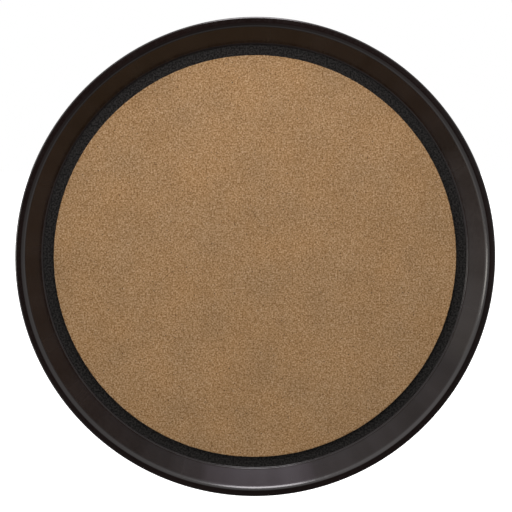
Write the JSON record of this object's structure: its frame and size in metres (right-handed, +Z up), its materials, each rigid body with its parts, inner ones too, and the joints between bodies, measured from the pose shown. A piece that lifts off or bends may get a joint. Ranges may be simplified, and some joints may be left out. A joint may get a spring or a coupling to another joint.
{
  "type": "cork bulletin board",
  "caption": "Round wall-hung cork bulletin board: a cork disc on a black underlay inside a sloping dark rim, with turn buttons and keyhole brackets behind.",
  "frame": {"origin": "the board's axis where it meets the wall plane, at the rear edge of the rim", "axes": "+Y into the wall, so the cork faces -Y; +Z up; +X to the viewer's right"},
  "size_m": [0.4064, 0.0325, 0.4064],
  "materials": {
    "rim_frame": "satin",
    "cork": "matte",
    "underlay": "matte",
    "fibreboard": "matte",
    "hardboard": "matte",
    "button_steel": "satin",
    "screw_steel": "satin",
    "bracket_steel": "satin",
    "grip_rubber": "matte"
  },
  "bodies": {
    "board": {"rim_frame": "rim_frame", "cork_sheet": "cork", "black_underlay": "underlay", "fibreboard_core": "fibreboard", "hardboard_back": "hardboard", "button_screws": "screw_steel", "grip_pad_1": "grip_rubber", "grip_pad_2": "grip_rubber", "grip_pad_3": "grip_rubber", "grip_pad_4": "grip_rubber", "keyhole_bracket_left": "bracket_steel", "keyhole_bracket_right": "bracket_steel", "bracket_screws": "screw_steel"},
    "turn_button_1": {"turn_button_1": "button_steel"},
    "turn_button_2": {"turn_button_2": "button_steel"},
    "turn_button_3": {"turn_button_3": "button_steel"},
    "turn_button_4": {"turn_button_4": "button_steel"},
    "turn_button_5": {"turn_button_5": "button_steel"},
    "turn_button_6": {"turn_button_6": "button_steel"},
    "turn_button_7": {"turn_button_7": "button_steel"},
    "turn_button_8": {"turn_button_8": "button_steel"}
  },
  "joints": [
    {"name": "turn_button_1_pivot", "type": "hinge", "parent": "board", "child": "turn_button_1", "pos_m": [0.17785, -0.00435, 0.07367], "axis": [0, 1, 0], "range_deg": [-90, 90]},
    {"name": "turn_button_2_pivot", "type": "hinge", "parent": "board", "child": "turn_button_2", "pos_m": [0.07367, -0.00435, 0.17785], "axis": [0, 1, 0], "range_deg": [-90, 90]},
    {"name": "turn_button_3_pivot", "type": "hinge", "parent": "board", "child": "turn_button_3", "pos_m": [-0.07367, -0.00435, 0.17785], "axis": [0, 1, 0], "range_deg": [-90, 90]},
    {"name": "turn_button_4_pivot", "type": "hinge", "parent": "board", "child": "turn_button_4", "pos_m": [-0.17785, -0.00435, 0.07367], "axis": [0, 1, 0], "range_deg": [-90, 90]},
    {"name": "turn_button_5_pivot", "type": "hinge", "parent": "board", "child": "turn_button_5", "pos_m": [-0.17785, -0.00435, -0.07367], "axis": [0, 1, 0], "range_deg": [-90, 90]},
    {"name": "turn_button_6_pivot", "type": "hinge", "parent": "board", "child": "turn_button_6", "pos_m": [-0.07367, -0.00435, -0.17785], "axis": [0, 1, 0], "range_deg": [-90, 90]},
    {"name": "turn_button_7_pivot", "type": "hinge", "parent": "board", "child": "turn_button_7", "pos_m": [0.07367, -0.00435, -0.17785], "axis": [0, 1, 0], "range_deg": [-90, 90]},
    {"name": "turn_button_8_pivot", "type": "hinge", "parent": "board", "child": "turn_button_8", "pos_m": [0.17785, -0.00435, -0.07367], "axis": [0, 1, 0], "range_deg": [-90, 90]}
  ]
}
